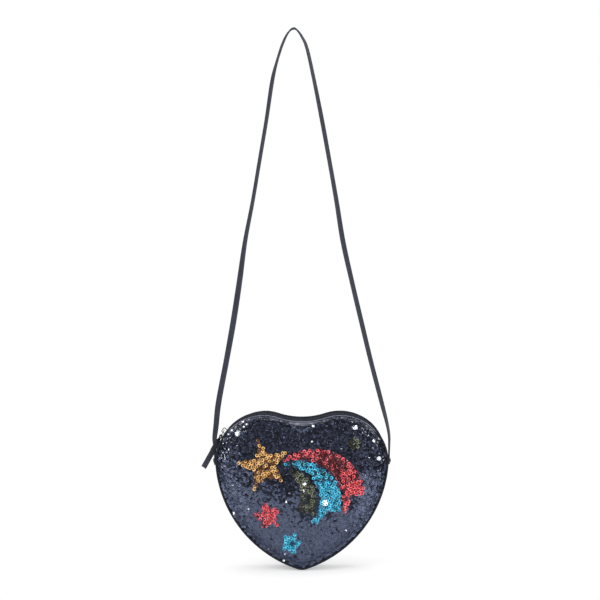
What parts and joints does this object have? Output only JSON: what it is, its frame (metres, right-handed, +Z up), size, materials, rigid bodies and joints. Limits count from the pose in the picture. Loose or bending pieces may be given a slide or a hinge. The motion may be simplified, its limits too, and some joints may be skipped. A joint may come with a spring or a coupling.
{
  "type": "heart-shaped crossbody handbag",
  "caption": "Padded heart-shaped crossbody bag with a sequinned front, a zip over the top gusset and a narrow riveted shoulder strap",
  "frame": {"origin": "The hanging point: the middle of the underside of the strap at its highest place.", "axes": "+Z up, +X to the wearer's left as the sequinned front is looked at (right in the picture), and the sequinned front faces -Y."},
  "size_m": [0.1954, 0.0498, 0.5577],
  "materials": {
    "navy_sequins": "dark navy foil sequins, glossy",
    "gold_sequins": "gold foil sequins, glossy",
    "red_sequins": "red foil sequins, glossy",
    "cyan_sequins": "cyan foil sequins, glossy",
    "olive_sequins": "dark olive foil sequins, glossy",
    "dark_leather": "charcoal imitation leather with a fine grain",
    "lining_cloth": "dark plain-woven lining",
    "padding_foam": "soft foam padding",
    "stiff_board": "stiffening board",
    "zip_tape": "black woven zip tape",
    "zip_metal": "antique pewter metal"
  },
  "bodies": {
    "strap": {"strap": "dark_leather"},
    "bag": {"front_sequin_panel": "navy_sequins", "gold_star_sequins": "gold_sequins", "red_tail_sequins": "red_sequins", "small_red_star_sequins": "red_sequins", "cyan_tail_sequins": "cyan_sequins", "small_cyan_star_sequins": "cyan_sequins", "olive_tail_sequins": "olive_sequins", "small_olive_star_sequins": "olive_sequins", "anchor_patch_left": "dark_leather", "anchor_patch_right": "dark_leather", "back_panel": "dark_leather", "front_piping": "dark_leather", "back_piping": "dark_leather", "lower_gusset": "dark_leather", "zip_facing_front": "dark_leather", "zip_facing_back": "dark_leather", "zip_end_patch_left": "dark_leather", "zip_end_patch_right": "dark_leather", "front_lining": "lining_cloth", "back_lining": "lining_cloth", "gusset_lining": "lining_cloth", "front_padding": "padding_foam", "back_padding": "padding_foam", "back_board": "stiff_board", "zip_tape_front": "zip_tape", "zip_tape_back": "zip_tape", "zip_teeth_front": "zip_metal", "zip_teeth_back": "zip_metal", "zip_stop_left": "zip_metal", "zip_stop_right": "zip_metal", "strap_rivet_left": "zip_metal", "strap_rivet_right": "zip_metal"},
    "zip_slider": {"zip_slider": "zip_metal"},
    "pull_ring": {"pull_ring": "zip_metal"},
    "pull_tab": {"pull_tab": "dark_leather"}
  },
  "joints": [
    {"name": "bag_swing", "type": "hinge", "parent": "strap", "child": "bag", "pos_m": [0.0089, 0, -0.4455], "axis": [1, 0, 0], "range_deg": [-20, 180]},
    {"name": "zip_slide", "type": "hinge", "parent": "bag", "child": "zip_slider", "pos_m": [-0.0306, 0, -0.4455], "axis": [0, 1, 0], "range_deg": [0, 65]},
    {"name": "ring_swing", "type": "hinge", "parent": "zip_slider", "child": "pull_ring", "pos_m": [-0.07157, 0, -0.41463], "axis": [-0.2042, 0.9063, -0.37], "range_deg": [0, 105]},
    {"name": "tab_swing", "type": "hinge", "parent": "pull_ring", "child": "pull_tab", "pos_m": [-0.0749, -0.00321, -0.42066], "axis": [-0.2042, 0.9063, -0.37], "range_deg": [0, 30]}
  ]
}
